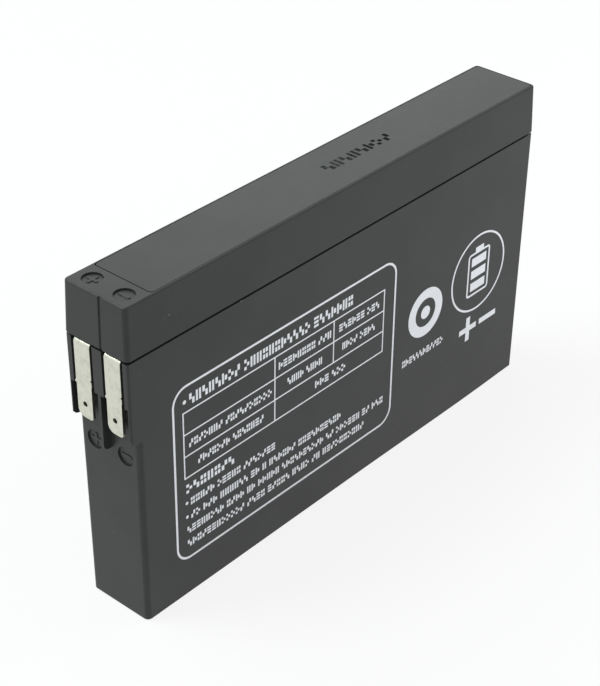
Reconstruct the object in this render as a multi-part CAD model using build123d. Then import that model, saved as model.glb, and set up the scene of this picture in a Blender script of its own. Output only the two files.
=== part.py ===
from build123d import *
from math import atan, degrees
import os

# Slim twelve volt sealed lead acid battery, six cells in one row.
# Millimetres. +X runs from the terminal end to the far end, the printed long side faces -Y, +Z is up.
# The origin is the middle of the footprint, on the surface that the battery stands on.

# Overall size
length = 150.0
width = 20.0
height = 89.0

# Container walls
case_overhang = 0.2         # how far the lid stands out past the container's rim
case_draft = 0.3            # the container is narrower by this much at its base, on each side
case_corner = 0.6           # radius of the upright outer corners
wall_corner = 1.4           # radius of the upright corners of the lower end wall
base_chamfer = 0.45
wall = 1.75                 # outer wall thickness at the rim
floor_wall = 1.8
partition = 1.2
cell_count = 6
cell_corner = 0.8

# Terminal end of the container, with heights measured down from the lid's lower edge
setback = 2.15              # the lower end wall stands back by this much
ledge_drop = 12.9           # underside of the block that carries the tabs
cheek_drop = 22.7           # lower end of the two side cheeks
fin_drop = 28.2             # lower end of the divider between the tabs
cheek = 0.75                # cheek thickness
fin = 0.9                   # divider thickness
nose_radius = 1.8           # rounded lower front corner of the cheeks and the divider
channel_gap = 0.8           # free width beside each tab stem
channel_depth = 1.2

# Lid and its glued joint
lid_height = 13.3
lid_corner = 1.2
lid_draft = 0.4             # the lid is narrower by this much at the top, on each side
lid_top_round = 0.5
seam_gap = 0.75             # open groove between the lid and the container
tongue = 0.9                # thickness of the rim tongue that enters the lid
tongue_height = 2.0
glue_gap = 0.1
lid_lip = 1.0               # lid material inside each cell's outline
head_space = 3.3            # free height under the lid's deck
deck = 2.0
end_groove_width = 0.8
end_groove_depth = 0.3
end_groove_y = -1.75

# Vent cover, necks and caps
cover_thickness = 2.0
cover_start = 8.8           # from the terminal end to the cover's recess
cover_rim = 1.0             # lid rim outside the cover, at the lid's lower edge size
cover_corner = 1.0
cover_gap = 0.12
cover_end_gap = 0.28        # the wider gap at the terminal end
cover_seat = 1.9
neck_bore = 1.25
neck_height = 3.6
cap_wall = 1.4
cap_top = 1.2
cap_fit = 0.05              # clearance of the cap on its neck
cap_play = 0.3              # clearance of the cap under the cover and over the deck
cap_side_gap = 1.15         # from the caps to the trough's +Y wall
cap_lead_gap = 1.0          # from the caps to the return lead beside them
cap_end_gap = 0.45          # from the first cap to the trough's end wall
cap_cross_gap = 0.3         # from the last cap to the return lead's cross strip

# Terminal tabs
tab_side = 2.5              # from the container's long side to a tab's stem
tab_thickness = 0.8
stem_width = 5.0
blade_width = 4.75
tab_drop = 21.3             # from the lid's lower edge to the tab's tip
shoulder_drop = 12.2        # from the lid's lower edge to the stop bumps
notch_drop = 10.5
bump_radius = 0.45
notch_radius = 0.3
bend_radius = 1.0
tip_round_large = 2.0
tip_round_small = 0.8
tab_hole_radius = 0.7
tab_hole_from_tip = 3.7
root_reach = 13.0           # from the terminal end to the inner end of the strip

# Seals in the lid's terminal wells
well_start = 4.6
well_length = 3.8
well_width = 5.8
well_height = 8.4

# Plates, separators and lead castings
positive_plate = 2.4
negative_plate = 1.7
positives_per_cell = 3
plate_clearance = 0.1       # from the plates to the start of a cell's corner rounds
mat_clearance = 0.25        # from the mats to the cell's long walls
lug_height = 4.0
mat_stand = 2.0             # how far the mats stand above the plates
lug_width = 4.0
strap_width = 5.0
strap_height = 4.0
strap_room = 7.2            # free height from the straps to the container's rim
strap_side_gap = 1.05       # from a strap to the cell's long wall
strap_end_gap = 1.0
link_width = 4.0
link_height = 3.0
link_reach = 3.0            # how far a link lies on each strap
riser_length = 3.0
riser_width = 3.6
riser_end_gap = 1.0

# Lead from the last cell back to the negative tab
post_radius = 2.0
post_from_far_end = 5.5
post_clearance = 0.3
lead_width = 2.5
lead_thickness = 1.0
lead_side_gap = 0.65        # from the lead to the trough's -Y wall
lead_end_gap = 0.5
lead_clearance = 0.2

# Planes that several pieces share
end_x = -length / 2
far_x = length / 2
face_x = end_x + case_overhang
wall_x = face_x + setback
case_far_x = far_x - case_overhang
case_half = width / 2 - case_overhang
inner_half = case_half - wall
seam_z = height - lid_height
rim_z = seam_z - seam_gap
ledge_z = seam_z - ledge_drop
cells_x0 = wall_x + wall
cells_x1 = case_far_x - wall
cell_length = (cells_x1 - cells_x0 - (cell_count - 1) * partition) / cell_count
deck_low = seam_z + head_space
deck_high = deck_low + deck
cover_low = height - cover_thickness
cover_x0 = end_x + cover_start
cover_x1 = far_x - cover_rim
cover_half = width / 2 - cover_rim
trough_x0 = cover_x0 + cover_seat
trough_x1 = cover_x1 - cover_seat
trough_half = cover_half - cover_seat
root_x = end_x + root_reach
tab_offset = case_half - tab_side - stem_width / 2
strap_high = rim_z - strap_room
strap_low = strap_high - strap_height
plate_top = strap_low - lug_height
separator_top = plate_top + mat_stand
lug_offset = inner_half - strap_side_gap - strap_width / 2
negatives_per_cell = positives_per_cell + 1
separator = (cell_length - positives_per_cell * positive_plate
             - negatives_per_cell * negative_plate) / (2 * positives_per_cell)
post_x = cells_x1 - post_from_far_end
lead_y = -trough_half + lead_side_gap + lead_width / 2
cap_radius = (trough_half - cap_side_gap - cap_lead_gap - lead_width / 2 - lead_y) / 2
neck_radius = cap_radius - cap_wall - cap_fit
neck_y = trough_half - cap_side_gap - cap_radius
first_neck_x = trough_x0 + cap_end_gap + cap_radius
last_neck_x = post_x - lead_width / 2 - cap_cross_gap - cap_radius
reach_past = 1.0            # how far a cutting body runs past the face that it opens


def block(x0, x1, y0, y1, z0, z1):
    """A box between two opposite corners."""
    corner = Pos(x0, y0, z0)
    return corner * Box(x1 - x0, y1 - y0, z1 - z0, align=(Align.MIN, Align.MIN, Align.MIN))


def rounded_block(x0, x1, half, z0, z1, radius):
    """A box centred on the middle plane, with rounded upright corners."""
    outline = Pos((x0 + x1) / 2, 0, z0) * RectangleRounded(x1 - x0, 2 * half, radius)
    return extrude(outline, z1 - z0)


def drafted_case(x0, end_corner):
    """The container's outside from one end plane to the far end: narrower at its base on every
    side, with its own radius on the two corners of that end and a chamfer along the base."""
    outline = Pos((x0 + case_far_x) / 2, 0, rim_z) * Rectangle(case_far_x - x0, 2 * case_half)
    body = extrude(outline, rim_z, dir=(0, 0, -1), taper=degrees(atan(case_draft / rim_z)))
    body = fillet(body.edges().group_by(Axis.Z)[1].group_by(Axis.X)[-1], case_corner)
    body = fillet(body.edges().group_by(Axis.Z)[1].group_by(Axis.X)[0], end_corner)
    return chamfer(body.edges().group_by(Axis.Z)[0], base_chamfer)


def cell_ends(number):
    """The inner end planes of one cell, counted from the terminal end."""
    start = cells_x0 + (number - 1) * (cell_length + partition)
    return start, start + cell_length


def neck_x(number):
    """The necks stand evenly between the trough's end and the return lead's cross strip."""
    return first_neck_x + (last_neck_x - first_neck_x) * (number - 1) / (cell_count - 1)


def positive_side(number):
    """The sign of Y on which a cell has its positive lugs: neighbours are turned round."""
    return 1 if number % 2 == 1 else -1


def nosed_wall(y0, y1, z_low):
    """A cheek or divider that stands out to the block's face, round at its lower front corner."""
    plate = block(face_x, wall_x + wall_corner, y0, y1, z_low, ledge_z)
    low_front = plate.edges().filter_by(Axis.Y).group_by(Axis.Z)[0].sort_by(Axis.X)[0]
    return fillet(low_front, min(nose_radius, 0.95 * setback))


def make_container():
    outer = drafted_case(face_x, case_corner)
    body = drafted_case(wall_x, wall_corner)
    body += outer & block(face_x, 0, -case_half, case_half, ledge_z, rim_z)
    cheek_z = seam_z - cheek_drop
    body += outer & nosed_wall(case_half - cheek, case_half, cheek_z)
    body += outer & nosed_wall(-case_half, -case_half + cheek, cheek_z)
    body += outer & nosed_wall(-fin / 2, fin / 2, seam_z - fin_drop)
    # the rim tongue that enters the lid's groove
    rim_top = rim_z + tongue_height
    rim = rounded_block(cells_x0 - tongue, cells_x1 + tongue, inner_half + tongue,
                        rim_z, rim_top, cell_corner + tongue)
    body += rim - rounded_block(cells_x0, cells_x1, inner_half, rim_z, rim_top, cell_corner)
    for number in range(1, cell_count + 1):
        start, stop = cell_ends(number)
        body -= rounded_block(start, stop, inner_half, floor_wall, rim_z, cell_corner)
    for side in (-1, 1):
        tab_y = side * tab_offset
        channel_half = stem_width / 2 + channel_gap
        body -= block(face_x - reach_past, face_x + channel_depth,
                      tab_y - channel_half, tab_y + channel_half, ledge_z, rim_z + reach_past)
        body -= block(face_x, cells_x0 + reach_past, tab_y - stem_width / 2,
                      tab_y + stem_width / 2, rim_z - tab_thickness, rim_top)
    for number in range(1, cell_count):
        link_y = -positive_side(number) * lug_offset
        stop = cell_ends(number)[1]
        body -= block(stop - reach_past, stop + partition + reach_past,
                      link_y - link_width / 2, link_y + link_width / 2,
                      strap_high, strap_high + link_height)
    return body


def make_lid():
    low = Pos(0, 0, seam_z) * RectangleRounded(length, width, lid_corner)
    high = Pos(0, 0, height) * RectangleRounded(length - 2 * lid_draft, width - 2 * lid_draft,
                                                lid_corner)
    body = loft([low, high])
    body = fillet(body.faces().sort_by(Axis.Z)[-1].edges(), lid_top_round)
    # groove for the container's rim tongue
    groove_top = rim_z + tongue_height + glue_gap
    groove = rounded_block(cells_x0 - tongue - glue_gap, cells_x1 + tongue + glue_gap,
                           inner_half + tongue + glue_gap, seam_z, groove_top,
                           cell_corner + tongue + glue_gap)
    groove -= rounded_block(cells_x0 + glue_gap, cells_x1 - glue_gap, inner_half - glue_gap,
                            seam_z, groove_top, cell_corner)
    body -= groove
    for number in range(1, cell_count + 1):
        start, stop = cell_ends(number)
        body -= block(start + lid_lip, stop - lid_lip, -inner_half + lid_lip,
                      inner_half - lid_lip, seam_z, deck_low)
        if number < cell_count:
            body += block(stop, stop + partition, -inner_half + glue_gap, inner_half - glue_gap,
                          rim_z, seam_z)
    # recess for the vent cover, with a seat round the trough of the caps
    body -= rounded_block(cover_x0, cover_x1, cover_half, cover_low, height + reach_past,
                          cover_corner)
    body -= rounded_block(trough_x0, trough_x1, trough_half, deck_high, cover_low, cover_corner)
    for number in range(1, cell_count + 1):
        place = Pos(neck_x(number), neck_y, 0)
        body += place * Pos(0, 0, deck_high) * Cylinder(
            neck_radius, neck_height, align=(Align.CENTER, Align.CENTER, Align.MIN))
        body -= place * Pos(0, 0, deck_low) * Cylinder(
            neck_bore, deck + neck_height, align=(Align.CENTER, Align.CENTER, Align.MIN))
    for side in (-1, 1):
        tab_y = side * tab_offset
        body -= block(end_x + well_start, end_x + well_start + well_length,
                      tab_y - well_width / 2, tab_y + well_width / 2,
                      seam_z, seam_z + well_height)
    # passages in the deck for the post of the last cell and for the lead's leg
    body -= Pos(post_x, -positive_side(cell_count) * lug_offset, deck_low) * Cylinder(
        post_radius + post_clearance, deck, align=(Align.CENTER, Align.CENTER, Align.MIN))
    body -= block(root_x - lead_end_gap - lead_thickness - lead_clearance,
                  root_x - lead_end_gap + lead_clearance,
                  lead_y - lead_width / 2 - lead_clearance,
                  lead_y + lead_width / 2 + lead_clearance, deck_low, deck_high)
    # upright groove in the end face, at one depth down the drafted wall
    section = make_face(Polyline([
        (end_x - reach_past, seam_z), (end_x + end_groove_depth, seam_z),
        (end_x + end_groove_depth + lid_draft, height), (end_x - reach_past, height)], close=True))
    cutter = extrude(Plane.XZ * section, end_groove_width / 2, both=True)
    body -= Pos(0, end_groove_y, 0) * cutter
    return body


def make_vent_cover():
    return rounded_block(cover_x0 + cover_end_gap, cover_x1 - cover_gap, cover_half - cover_gap,
                         cover_low, height, cover_corner)


def make_vent_cap(number):
    low = deck_high + cap_play
    cap_height = cover_low - cap_play - low
    base = (Align.CENTER, Align.CENTER, Align.MIN)
    cap = Cylinder(cap_radius, cap_height, align=base)
    cap -= Cylinder(cap_radius - cap_wall, cap_height - cap_top, align=base)
    return Pos(neck_x(number), neck_y, low) * cap


def make_tab(side):
    """A stamped tab: a strip that leaves over the rim and is bent down in front of the channel."""
    tab_y = side * tab_offset
    tip_z = seam_z - tab_drop
    bend_z = rim_z - bend_radius
    shoulder_z = seam_z - shoulder_drop
    blade_half = blade_width / 2
    stem_half = stem_width / 2
    # outline of the hanging part, drawn in Y and Z, the large round on the +Y side
    blade = Pos(0, (tip_z + shoulder_z) / 2) * Rectangle(blade_width, shoulder_z - tip_z)
    corners = blade.vertices().group_by(Axis.Y)[0].sort_by(Axis.X)
    blade = fillet(corners[1], tip_round_large)
    corners = blade.vertices().sort_by(Axis.X)[:2].sort_by(Axis.Y)
    blade = fillet(corners[0], tip_round_small)
    outline = blade + Pos(0, (shoulder_z + bend_z) / 2) * Rectangle(stem_width, bend_z - shoulder_z)
    outline += Pos(blade_half, shoulder_z) * Circle(bump_radius)
    outline -= Pos(-stem_half, seam_z - notch_drop) * Circle(notch_radius)
    outline -= Pos(0, tip_z + tab_hole_from_tip) * Circle(tab_hole_radius)
    hanging = extrude(Plane.YZ * outline, tab_thickness)
    tab = Pos(face_x, tab_y, 0) * hanging
    # quarter turn and the strip that runs in over the rim
    bend = Rot(90, 0, 0) * Cylinder(bend_radius, stem_width)
    bend -= Rot(90, 0, 0) * Cylinder(bend_radius - tab_thickness, stem_width)
    bend &= block(-bend_radius, 0, -stem_half, stem_half, 0, bend_radius)
    tab += Pos(face_x + bend_radius, tab_y, bend_z) * bend
    tab += block(face_x + bend_radius, root_x, tab_y - stem_half, tab_y + stem_half,
                 rim_z - tab_thickness, rim_z)
    return tab


def make_seal(side):
    tab_y = side * tab_offset
    return block(end_x + well_start, end_x + well_start + well_length,
                 tab_y - stem_width / 2, tab_y + stem_width / 2, rim_z, seam_z + well_height)


def plate_starts(number):
    """The first X of every plate in a cell, as (negatives, positives)."""
    start = cell_ends(number)[0]
    pitch = positive_plate + negative_plate + 2 * separator
    negatives = [start + index * pitch for index in range(negatives_per_cell)]
    positives = [start + negative_plate + separator + index * pitch
                 for index in range(positives_per_cell)]
    return negatives, positives


def make_plates(number, starts, thickness, low, side):
    """One cell's plates of one sign with their lugs, burned into a strap."""
    plate_half = inner_half - cell_corner - plate_clearance
    lug_y = side * lug_offset
    start, stop = cell_ends(number)
    group = block(start + strap_end_gap, stop - strap_end_gap, lug_y - strap_width / 2,
                  lug_y + strap_width / 2, strap_low, strap_high)
    for x in starts:
        group += block(x, x + thickness, -plate_half, plate_half, low, plate_top)
        group += block(max(x, start + strap_end_gap), min(x + thickness, stop - strap_end_gap),
                       lug_y - lug_width / 2, lug_y + lug_width / 2, plate_top, strap_low)
    return group


def make_positive_plates(number):
    side = positive_side(number)
    group = make_plates(number, plate_starts(number)[1], positive_plate,
                        floor_wall + separator, side)
    if number == 1:
        # riser to the positive tab's strip
        tab_y = side * tab_offset
        stop = root_x - riser_end_gap
        group += block(stop - riser_length, stop, tab_y - riser_width / 2, tab_y + riser_width / 2,
                       strap_high, rim_z - tab_thickness)
    return group


def make_negative_plates(number):
    side = -positive_side(number)
    group = make_plates(number, plate_starts(number)[0], negative_plate, floor_wall, side)
    if number == cell_count:
        # post through the deck to the return lead
        group += Pos(post_x, side * lug_offset, strap_high) * Cylinder(
            post_radius, deck_high - strap_high, align=(Align.CENTER, Align.CENTER, Align.MIN))
    return group


def make_separators(number):
    """Glass mats, one folded round the lower edge of each positive plate."""
    mat_half = inner_half - mat_clearance
    mats = []
    for x in plate_starts(number)[1]:
        mat = block(x - separator, x + positive_plate + separator, -mat_half, mat_half,
                    floor_wall, separator_top)
        mats.append(mat - block(x, x + positive_plate, -mat_half, mat_half,
                                floor_wall + separator, separator_top))
    return Compound(children=mats)


def make_cell_link(number):
    """A bar burned onto the straps of two neighbouring cells, through the partition's window."""
    link_y = -positive_side(number) * lug_offset
    stop = cell_ends(number)[1] - strap_end_gap
    start_next = cell_ends(number + 1)[0] + strap_end_gap
    return block(stop - link_reach, start_next + link_reach, link_y - link_width / 2,
                 link_y + link_width / 2, strap_high, strap_high + link_height)


def make_return_lead():
    """The strip on the lid's deck from the last cell's post to the negative tab."""
    post_y = -positive_side(cell_count) * lug_offset
    half = lead_width / 2
    top = deck_high + lead_thickness
    leg_x = root_x - lead_end_gap - lead_thickness
    lead = block(leg_x, post_x + half, lead_y - half, lead_y + half, deck_high, top)
    lead += block(post_x - half, post_x + half, lead_y - half, post_y + half, deck_high, top)
    lead += block(leg_x, leg_x + lead_thickness, lead_y - half, lead_y + half, rim_z, top)
    return lead


def save(shape, name):
    export_step(shape, "parts/" + name + ".step")


os.makedirs("parts", exist_ok=True)
save(make_container(), "container")
save(make_lid(), "lid")
save(make_vent_cover(), "vent_cover")
save(make_tab(1), "terminal_positive")
save(make_tab(-1), "terminal_negative")
save(make_seal(1), "terminal_seal_positive")
save(make_seal(-1), "terminal_seal_negative")
save(make_return_lead(), "return_lead")
for cell in range(1, cell_count + 1):
    save(make_vent_cap(cell), "vent_cap_%d" % cell)
    save(make_positive_plates(cell), "positive_plates_%d" % cell)
    save(make_negative_plates(cell), "negative_plates_%d" % cell)
    save(make_separators(cell), "separators_%d" % cell)
    if cell < cell_count:
        save(make_cell_link(cell), "cell_link_%d" % cell)
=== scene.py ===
"""Studio dressing of a slim sealed lead acid battery, laid out as a Blender add-on.

Each operator finishes one piece, or one group of like pieces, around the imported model, and the last
one sets the stage. Lengths are in metres. +X runs from the terminal end to the far end, the printed
long side faces -Y, and +Z is up.
"""

import math
from collections import namedtuple

import bmesh
import bpy
from mathutils import Matrix, Vector


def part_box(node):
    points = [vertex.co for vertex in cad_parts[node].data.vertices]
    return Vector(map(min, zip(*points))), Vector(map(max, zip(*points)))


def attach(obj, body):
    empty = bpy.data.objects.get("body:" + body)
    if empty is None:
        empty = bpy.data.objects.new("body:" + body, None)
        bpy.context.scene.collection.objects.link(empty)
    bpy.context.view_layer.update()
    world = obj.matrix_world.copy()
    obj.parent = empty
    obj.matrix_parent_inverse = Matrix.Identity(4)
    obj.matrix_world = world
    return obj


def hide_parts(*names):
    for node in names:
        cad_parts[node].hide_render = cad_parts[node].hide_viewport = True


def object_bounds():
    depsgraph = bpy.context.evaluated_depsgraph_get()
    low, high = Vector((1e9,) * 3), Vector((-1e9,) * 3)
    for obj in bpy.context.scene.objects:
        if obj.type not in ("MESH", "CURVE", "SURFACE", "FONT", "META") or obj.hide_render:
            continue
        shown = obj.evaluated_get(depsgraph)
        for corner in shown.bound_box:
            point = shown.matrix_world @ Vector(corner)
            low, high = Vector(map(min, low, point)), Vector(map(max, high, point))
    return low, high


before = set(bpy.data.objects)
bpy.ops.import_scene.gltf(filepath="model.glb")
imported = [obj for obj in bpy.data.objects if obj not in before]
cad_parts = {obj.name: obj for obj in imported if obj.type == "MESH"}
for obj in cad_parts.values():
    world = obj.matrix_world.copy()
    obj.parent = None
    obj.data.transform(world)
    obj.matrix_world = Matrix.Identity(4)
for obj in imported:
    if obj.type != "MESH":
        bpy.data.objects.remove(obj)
cad_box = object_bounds()

bl_info = {
    "name": "Sealed battery dressing",
    "version": (1, 0, 0),
    "blender": (4, 5, 0),
    "location": "View3D > Sidebar > Battery",
    "description": "Finishes, marks, print and studio of a slim sealed lead acid battery",
    "category": "Object",
}

MM = 0.001

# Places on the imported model
case_low, case_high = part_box("container")
lid_low, lid_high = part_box("lid")
cover_low, cover_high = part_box("vent_cover")
END_X = lid_low.x
TOP_Z = lid_high.z

# Points of the container under this height are its foot
FOOT_HEIGHT = 1.0 * MM

# How meshes are cleaned and rounded
SAME_POINT = 0.001 * MM
FLAT_ANGLE = math.radians(1.0)
SHARP_ANGLE = math.radians(28.0)
ROUND_SEGMENTS = 3

# Flat faces round a circle, and at the bend of a printed line
POCKET_STEPS = 64
BULLET_STEPS = 24
CIRCLE_STEPS = 72
RING_STEPS = 96
DOT_STEPS = 48
BEND_STEPS = 12

# How far inside its box's faces a moulding's outer edges may lie to be rounded
CONTAINER_REACH = 0.4 * MM
LID_REACH = 0.45 * MM
COVER_REACH = 0.05 * MM

# The same for the recessed end wall, and the height of the rim inside the lid, which stays sharp
RECESS_REACH = 0.1 * MM
HIDDEN_RIM = 2.5 * MM


def drafted_sides():
    """Where the long side and the lower end wall would meet the floor, and the slope they share."""
    points = [vertex.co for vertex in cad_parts["container"].data.vertices]
    foot = [point for point in points if point.z < FOOT_HEIGHT]
    side_foot = min(foot, key=lambda point: point.y)
    wall_foot = min(foot, key=lambda point: point.x)
    rim = min(points, key=lambda point: point.y)
    slope = (rim.y - side_foot.y) / (rim.z - side_foot.z)
    return side_foot.y - slope * side_foot.z, wall_foot.x - slope * wall_foot.z, slope


SIDE_FOOT_Y, WALL_FOOT_X, DRAFT_SLOPE = drafted_sides()


def number_setting(name, description, default, **limits):
    return bpy.props.FloatProperty(name=name, description=description, default=default, **limits)


def length_setting(name, description, millimetres):
    return number_setting(name, description, millimetres * MM, unit="LENGTH")


def share_setting(name, description, default):
    return number_setting(name, description, default, min=0.0, max=1.0, subtype="FACTOR")


def angle_setting(name, description, degrees):
    return number_setting(name, description, math.radians(degrees), subtype="ANGLE")


def power_setting(name, description, default):
    return number_setting(name, description, default, min=0.0, unit="POWER")


def colour_setting(name, description, default):
    return bpy.props.FloatVectorProperty(name=name, description=description, default=default,
                                         size=3, min=0.0, max=1.0, subtype="COLOR")


def count_setting(name, description, default):
    return bpy.props.IntProperty(name=name, description=description, default=default, min=0)


class CaseSettings(bpy.types.PropertyGroup):
    """Moulded plastic of the container, the lid and the vent cover."""

    colour: colour_setting("Plastic colour", "Colour of the black moulded plastic",
                           (0.0272, 0.0286, 0.0281))
    roughness: share_setting("Plastic roughness", "Roughness of the satin moulded skin", 0.42)
    gloss: share_setting("Plastic gloss", "Specular level of the plastic", 0.3)
    grain_size: length_setting("Grain size", "Size of the fine grain left by the mould", 0.16)
    grain_depth: length_setting("Grain depth", "Depth of the fine grain left by the mould", 0.004)
    container_round: length_setting("Container round", "Radius on the container's outer edges", 0.12)
    lid_round: length_setting("Lid round", "Radius on the outer edges of the lid and its cover", 0.1)


class MarkSettings(bpy.types.PropertyGroup):
    """Polarity marks, each a round pocket with a raised plus or minus on its floor."""

    pocket_radius: length_setting("Pocket radius", "Radius of the round pockets", 2.5)
    pocket_depth: length_setting("Pocket depth", "Depth of the round pockets", 0.45)
    sign_drop: length_setting("Sign drop", "How far the raised signs stay under the surface", 0.26)
    sign_length: length_setting("Sign length", "Length of the bars of the plus and the minus", 3.2)
    sign_width: length_setting("Sign width", "Width of the bars of the plus and the minus", 0.7)
    spread: length_setting("Spread", "Distance of each mark from the line between them", 4.95)
    off_middle: length_setting("Off middle", "Line between the marks, from the middle plane", -0.1)
    top_from_end: length_setting("Top marks from end", "The lid's marks, from the terminal end", 4.75)
    wall_height: length_setting("Wall marks height", "Height of the end wall's marks over the base", 47.2)


class StampSettings(bpy.types.PropertyGroup):
    """Row of dark stamped strokes on the vent cover."""

    start: length_setting("Start", "Distance of the row from the terminal end", 76.3)
    pitch: length_setting("Pitch", "Distance from one stamped sign to the next", 3.12)
    count: count_setting("Signs", "Number of stamped signs", 8)
    low_y: length_setting("Lower edge", "Lower edge of the row, from the middle plane", -1.2)
    height: length_setting("Height", "Height of the stamped signs", 3.2)
    depth: length_setting("Depth", "Depth of the stamping", 0.06)
    colour: colour_setting("Stamp colour", "Colour of the dark stamping foil", (0.004, 0.004, 0.0045))


class TabSettings(bpy.types.PropertyGroup):
    """Tin plated push-on tabs."""

    colour: colour_setting("Plating colour", "Colour of the tin plating", (0.655, 0.665, 0.57))
    roughness: share_setting("Plating roughness", "Roughness of the tin plating", 0.36)
    edge_round: length_setting("Edge round", "Radius on the stamped edges", 0.09)


class PrintSettings(bpy.types.PropertyGroup):
    """Pale screen print on the long side. Left and low are measured from the terminal end's base."""

    ink: colour_setting("Ink colour", "Colour of the pale ink", (0.85, 0.865, 0.91))
    thickness: length_setting("Ink thickness", "Thickness of the ink layer", 0.03)
    frame_left: length_setting("Frame left", "Left edge of the rounded frame's line", 12.9)
    frame_right: length_setting("Frame right", "Right edge of the rounded frame's line", 93.32)
    frame_low: length_setting("Frame low", "Lower edge of the rounded frame's line", 10.94)
    frame_high: length_setting("Frame high", "Upper edge of the rounded frame's line", 61.2)
    frame_line: length_setting("Frame line", "Width of the rounded frame's line", 0.62)
    frame_corner: length_setting("Frame corner", "Corner radius of the rounded frame", 4.7)
    table_left: length_setting("Table left", "Left line of the table", 16.3)
    table_right: length_setting("Table right", "Right line of the table", 88.6)
    table_low: length_setting("Table low", "Lowest line of the table", 35.15)
    table_row: length_setting("Table row", "Height of a table row", 6.2)
    label_column: length_setting("Label column", "Line between the table's first two columns", 47.35)
    value_column: length_setting("Value column", "Line between the table's last two columns", 69.0)
    table_line: length_setting("Table line", "Width of the table's lines", 0.38)
    seed: count_setting("Seed", "Choice of the block sign in each place", 7)


class StudioSettings(bpy.types.PropertyGroup):
    """Camera, floor and lamps."""

    azimuth: angle_setting("Azimuth", "Camera's turn round the battery, from the printed side", -48.926)
    elevation: angle_setting("Elevation", "Camera's angle over the floor", 33.337)
    roll: angle_setting("Roll", "Camera's turn round its own axis", 0.549)
    distance: length_setting("Distance", "Camera's distance from the battery's middle", 445.15)
    aim_right: length_setting("Aim right", "The battery's middle, right of the view's middle", 4.975)
    aim_up: length_setting("Aim up", "The battery's middle, over the view's middle", 3.708)
    lens: number_setting("Lens", "Focal length in millimetres, for a sensor 36 mm high", 92.38, min=1.0)
    key_power: power_setting("Key power", "Power of the soft lamp over the terminal end", 11.5)
    fill_power: power_setting("Fill power", "Power of the soft lamp right of the printed side", 1.3)
    sheen_power: power_setting("Sheen power", "Power of the soft lamp whose sheen lies on the top", 0.53)
    cool_tint: colour_setting("Cool tint", "Colour of the two lamps behind the battery", (0.9, 1.0, 0.98))
    sky: number_setting("Sky", "Strength of the even light from all round", 0.46, min=0.0)
    floor_colour: colour_setting("Floor colour", "Colour of the pale floor", (0.82, 0.82, 0.82))
    floor_lift: share_setting("Floor lift", "Share of plain white in the floor as the camera sees it", 0.85)


class Wire:
    """One output of a node. Arithmetic on it adds Math nodes."""

    def __init__(self, graph, socket):
        self.graph = graph
        self.socket = socket

    def maths(self, operation, first, second):
        return self.graph.node("ShaderNodeMath", {"operation": operation}, {0: first, 1: second})

    def __add__(self, other):
        return self.maths("ADD", self, other)

    def __radd__(self, other):
        return self.maths("ADD", other, self)

    def __sub__(self, other):
        return self.maths("SUBTRACT", self, other)

    def __rsub__(self, other):
        return self.maths("SUBTRACT", other, self)

    def __mul__(self, other):
        return self.maths("MULTIPLY", self, other)

    def __rmul__(self, other):
        return self.maths("MULTIPLY", other, self)


class Graph:
    """The nodes of one material, world or geometry tree, which starts empty."""

    def __init__(self, tree):
        tree.nodes.clear()
        self.tree = tree

    def node(self, kind, settings=None, sockets=None, out=0):
        """Adds a node, sets its settings, then its sockets, and returns the wire of one output."""
        made = self.tree.nodes.new(kind)
        for name, value in (settings or {}).items():
            setattr(made, name, value)
        for key, value in (sockets or {}).items():
            for part in value if isinstance(value, list) else [value]:
                if isinstance(part, Wire):
                    self.tree.links.new(part.socket, made.inputs[key])
                else:
                    made.inputs[key].default_value = part
        return Wire(self, made.outputs[out]) if len(made.outputs) else None


class Finish(Graph):
    """A material of one Principled shader, on the Object coordinates of its piece."""

    def __init__(self, name):
        self.material = bpy.data.materials.new(name)
        self.material.use_nodes = True
        super().__init__(self.material.node_tree)
        self.place = self.node("ShaderNodeTexCoord", out="Object")

    def noise(self, size, detail=2.0, stretch=(1.0, 1.0, 1.0)):
        """Soft noise from 0 to 1, whose features are about as large as size."""
        spot = self.node("ShaderNodeMapping", None, {"Vector": self.place, "Scale": stretch})
        return self.node("ShaderNodeTexNoise", None,
                         {"Vector": spot, "Scale": 1.0 / size, "Detail": detail})

    def between(self, value, low, high, new_low=0.0, new_high=1.0):
        """Value moved from low..high to new_low..new_high, and held inside them."""
        return self.node("ShaderNodeMapRange", {"interpolation_type": "SMOOTHSTEP"},
                         {0: value, 1: low, 2: high, 3: new_low, 4: new_high})

    def spot(self, fleck):
        """1 inside a small soft-edged ball at a fleck, and 0 outside."""
        x, y, z = [measure * MM for measure in fleck.place]
        away = self.node("ShaderNodeVectorMath", {"operation": "DISTANCE"},
                         {0: self.place, 1: (END_X + x, y, z)}, out="Value")
        return self.between(away, fleck.radius * MM, 0.6 * fleck.radius * MM)

    def blend(self, share, first, second):
        """The first colour where share is 0, the second where it is 1."""
        return self.node("ShaderNodeMix", {"data_type": "RGBA"}, {0: share, 6: first, 7: second}, out=2)

    def bump(self, height, depth, under=None):
        """A normal from a height of 0 to 1, over the depth given, on top of another bump's normal."""
        sockets = {"Height": height, "Distance": depth, "Strength": 1.0}
        if under:
            sockets["Normal"] = under
        return self.node("ShaderNodeBump", None, sockets)

    def surface(self, **sockets):
        """Ends the material in a Principled shader with these sockets, and returns it."""
        named = {key.replace("_", " "): value for key, value in sockets.items()}
        shader = self.node("ShaderNodeBsdfPrincipled", None, named)
        self.node("ShaderNodeOutputMaterial", None, {"Surface": shader})
        return self.material


def opaque(colour, level=1.0):
    """A colour property as four numbers, lightened or darkened by level."""
    return (colour[0] * level, colour[1] * level, colour[2] * level, 1.0)


Fleck = namedtuple("Fleck", "place radius level")

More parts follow.
